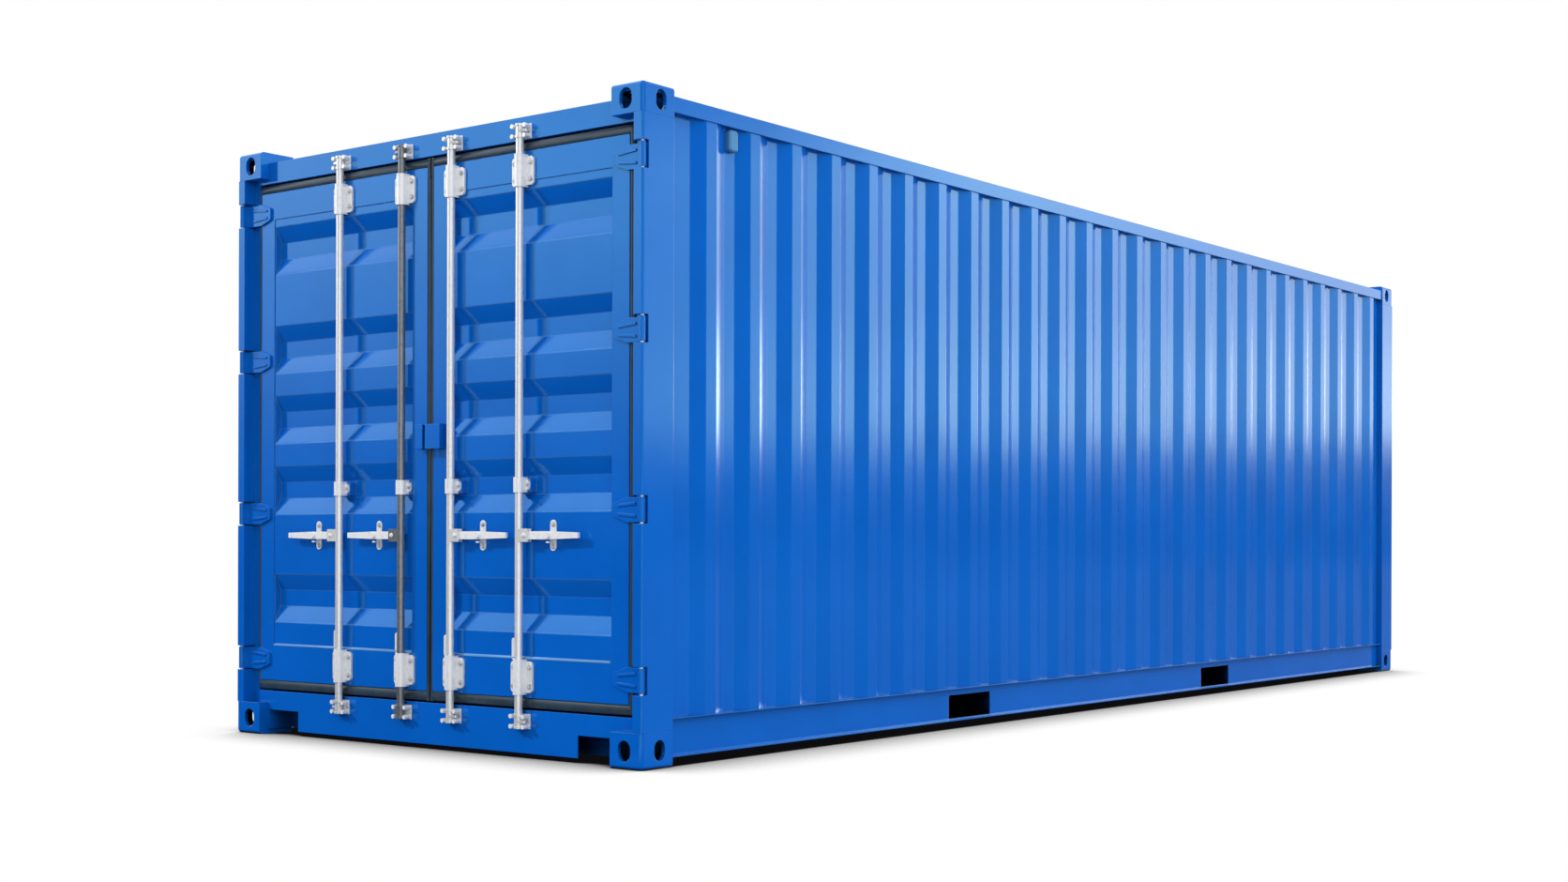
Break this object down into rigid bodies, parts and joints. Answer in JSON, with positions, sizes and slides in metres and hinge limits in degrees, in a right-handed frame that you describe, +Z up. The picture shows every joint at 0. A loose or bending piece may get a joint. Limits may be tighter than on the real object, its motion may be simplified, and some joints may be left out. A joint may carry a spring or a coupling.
{
  "type": "shipping container",
  "caption": "Steel shipping container with ribbed walls, corner castings, fork pockets and two swing doors held by lock rods with lifting handles.",
  "frame": {"origin": "centre of the footprint on the ground, under the bottom corner castings", "axes": "+X along the length away from the doors, +Y to the left of the doors seen from outside, +Z up"},
  "size_m": [7.62, 2.438, 2.591],
  "materials": {
    "blue_paint": "gloss",
    "zinc_steel": "galvanised",
    "seal_rubber": "matte",
    "floor_plywood": "sealed"
  },
  "bodies": {
    "container": {"bottom_corner_castings": "blue_paint", "cross_members": "blue_paint", "door_header": "blue_paint", "door_sill": "blue_paint", "floor": "floor_plywood", "fork_pockets": "blue_paint", "hinge_pins": "zinc_steel", "left_bottom_rail": "blue_paint", "left_door_post": "blue_paint", "left_rear_post": "blue_paint", "left_top_rail": "blue_paint", "left_wall": "blue_paint", "lower_cam_keepers": "zinc_steel", "rear_bottom_rail": "blue_paint", "rear_top_rail": "blue_paint", "rear_wall": "blue_paint", "right_bottom_rail": "blue_paint", "right_door_post": "blue_paint", "right_rear_post": "blue_paint", "right_top_rail": "blue_paint", "right_wall": "blue_paint", "roof": "blue_paint", "top_corner_castings": "blue_paint", "upper_cam_keepers": "zinc_steel", "ventilators": "blue_paint"},
    "left_door": {"left_door_frame": "blue_paint", "left_door_panel": "blue_paint", "left_door_seal": "seal_rubber", "left_door_hinges": "blue_paint", "left_rod_guides": "zinc_steel", "left_handle_catches": "zinc_steel", "left_lock_box": "blue_paint"},
    "left_outer_rod": {"left_outer_lock_rod": "zinc_steel"},
    "left_outer_lever": {"left_outer_handle": "zinc_steel"},
    "left_inner_rod": {"left_inner_lock_rod": "zinc_steel"},
    "left_inner_lever": {"left_inner_handle": "zinc_steel"},
    "right_door": {"right_door_frame": "blue_paint", "right_door_panel": "blue_paint", "right_door_seal": "seal_rubber", "right_door_hinges": "blue_paint", "right_rod_guides": "zinc_steel", "right_handle_catches": "zinc_steel", "right_lock_box": "blue_paint"},
    "right_outer_rod": {"right_outer_lock_rod": "zinc_steel"},
    "right_outer_lever": {"right_outer_handle": "zinc_steel"},
    "right_inner_rod": {"right_inner_lock_rod": "zinc_steel"},
    "right_inner_lever": {"right_inner_handle": "zinc_steel"}
  },
  "joints": [
    {"name": "left_door_hinge", "type": "hinge", "parent": "container", "child": "left_door", "pos_m": [-3.796, 1.205, 1.3], "axis": [0, 0, -1], "range_deg": [0, 264]},
    {"name": "left_outer_rod_turn", "type": "hinge", "parent": "left_door", "child": "left_outer_rod", "pos_m": [-3.787, 0.545, 1.3], "axis": [0, 0, -1], "range_deg": [-120, 0]},
    {"name": "left_outer_handle_lift", "type": "hinge", "parent": "left_outer_rod", "child": "left_outer_lever", "pos_m": [-3.787, 0.587, 0.88405], "axis": [-1, 0, 0], "range_deg": [-25, 0]},
    {"name": "left_inner_rod_turn", "type": "hinge", "parent": "left_door", "child": "left_inner_rod", "pos_m": [-3.787, 0.15, 1.3], "axis": [0, 0, -1], "range_deg": [-120, 0]},
    {"name": "left_inner_handle_lift", "type": "hinge", "parent": "left_inner_rod", "child": "left_inner_lever", "pos_m": [-3.787, 0.192, 0.88405], "axis": [1, 0, 0], "range_deg": [0, 25]},
    {"name": "right_door_hinge", "type": "hinge", "parent": "container", "child": "right_door", "pos_m": [-3.796, -1.205, 1.3], "axis": [0, 0, 1], "range_deg": [0, 264]},
    {"name": "right_outer_rod_turn", "type": "hinge", "parent": "right_door", "child": "right_outer_rod", "pos_m": [-3.787, -0.545, 1.3], "axis": [0, 0, 1], "range_deg": [-120, 0]},
    {"name": "right_outer_handle_lift", "type": "hinge", "parent": "right_outer_rod", "child": "right_outer_lever", "pos_m": [-3.787, -0.587, 0.88405], "axis": [1, 0, 0], "range_deg": [-25, 0]},
    {"name": "right_inner_rod_turn", "type": "hinge", "parent": "right_door", "child": "right_inner_rod", "pos_m": [-3.787, -0.15, 1.3], "axis": [0, 0, 1], "range_deg": [-120, 0]},
    {"name": "right_inner_handle_lift", "type": "hinge", "parent": "right_inner_rod", "child": "right_inner_lever", "pos_m": [-3.787, -0.192, 0.88405], "axis": [1, 0, 0], "range_deg": [-25, 0]}
  ]
}
